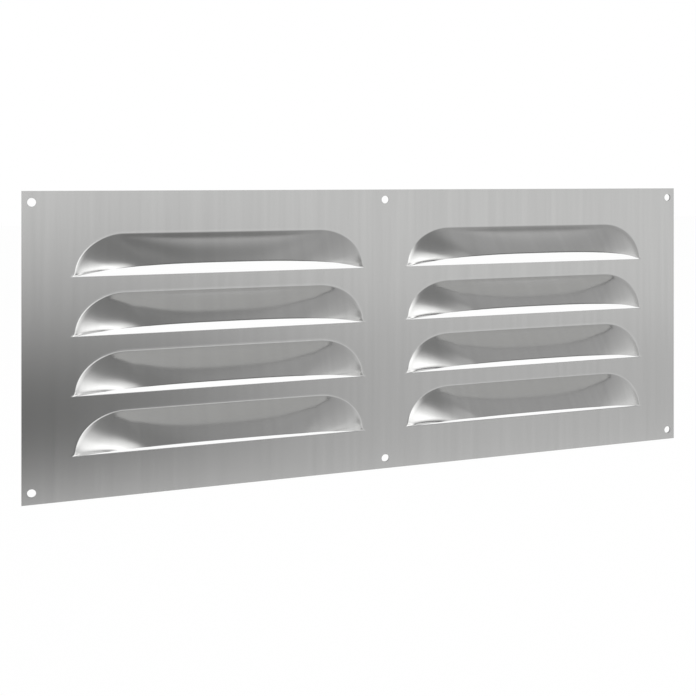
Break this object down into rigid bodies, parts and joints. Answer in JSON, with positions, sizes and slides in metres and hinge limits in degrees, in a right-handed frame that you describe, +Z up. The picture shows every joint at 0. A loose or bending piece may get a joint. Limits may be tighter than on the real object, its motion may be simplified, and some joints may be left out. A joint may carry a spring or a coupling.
{
  "type": "louvred grille",
  "caption": "Flat rectangular vent plate pressed from thin stainless sheet, with rows of downward-opening louvre hoods and screw holes along its rim.",
  "frame": {"origin": "centre of the flat back face, on the plain strip between the two columns of louvres", "axes": "+X along the plate's long side, to the right as seen from the front; +Y out of the back face into the wall, so the hoods stand out towards -Y; +Z up, so the hoods open downwards"},
  "size_m": [0.368, 0.0162, 0.152],
  "materials": {
    "stainless_sheet": "fine brushed stainless sheet with an upright grain, bare, soft mirror-like highlights on the pressed hoods"
  },
  "bodies": {
    "root": {"louvred_plate": "stainless_sheet"}
  },
  "joints": []
}
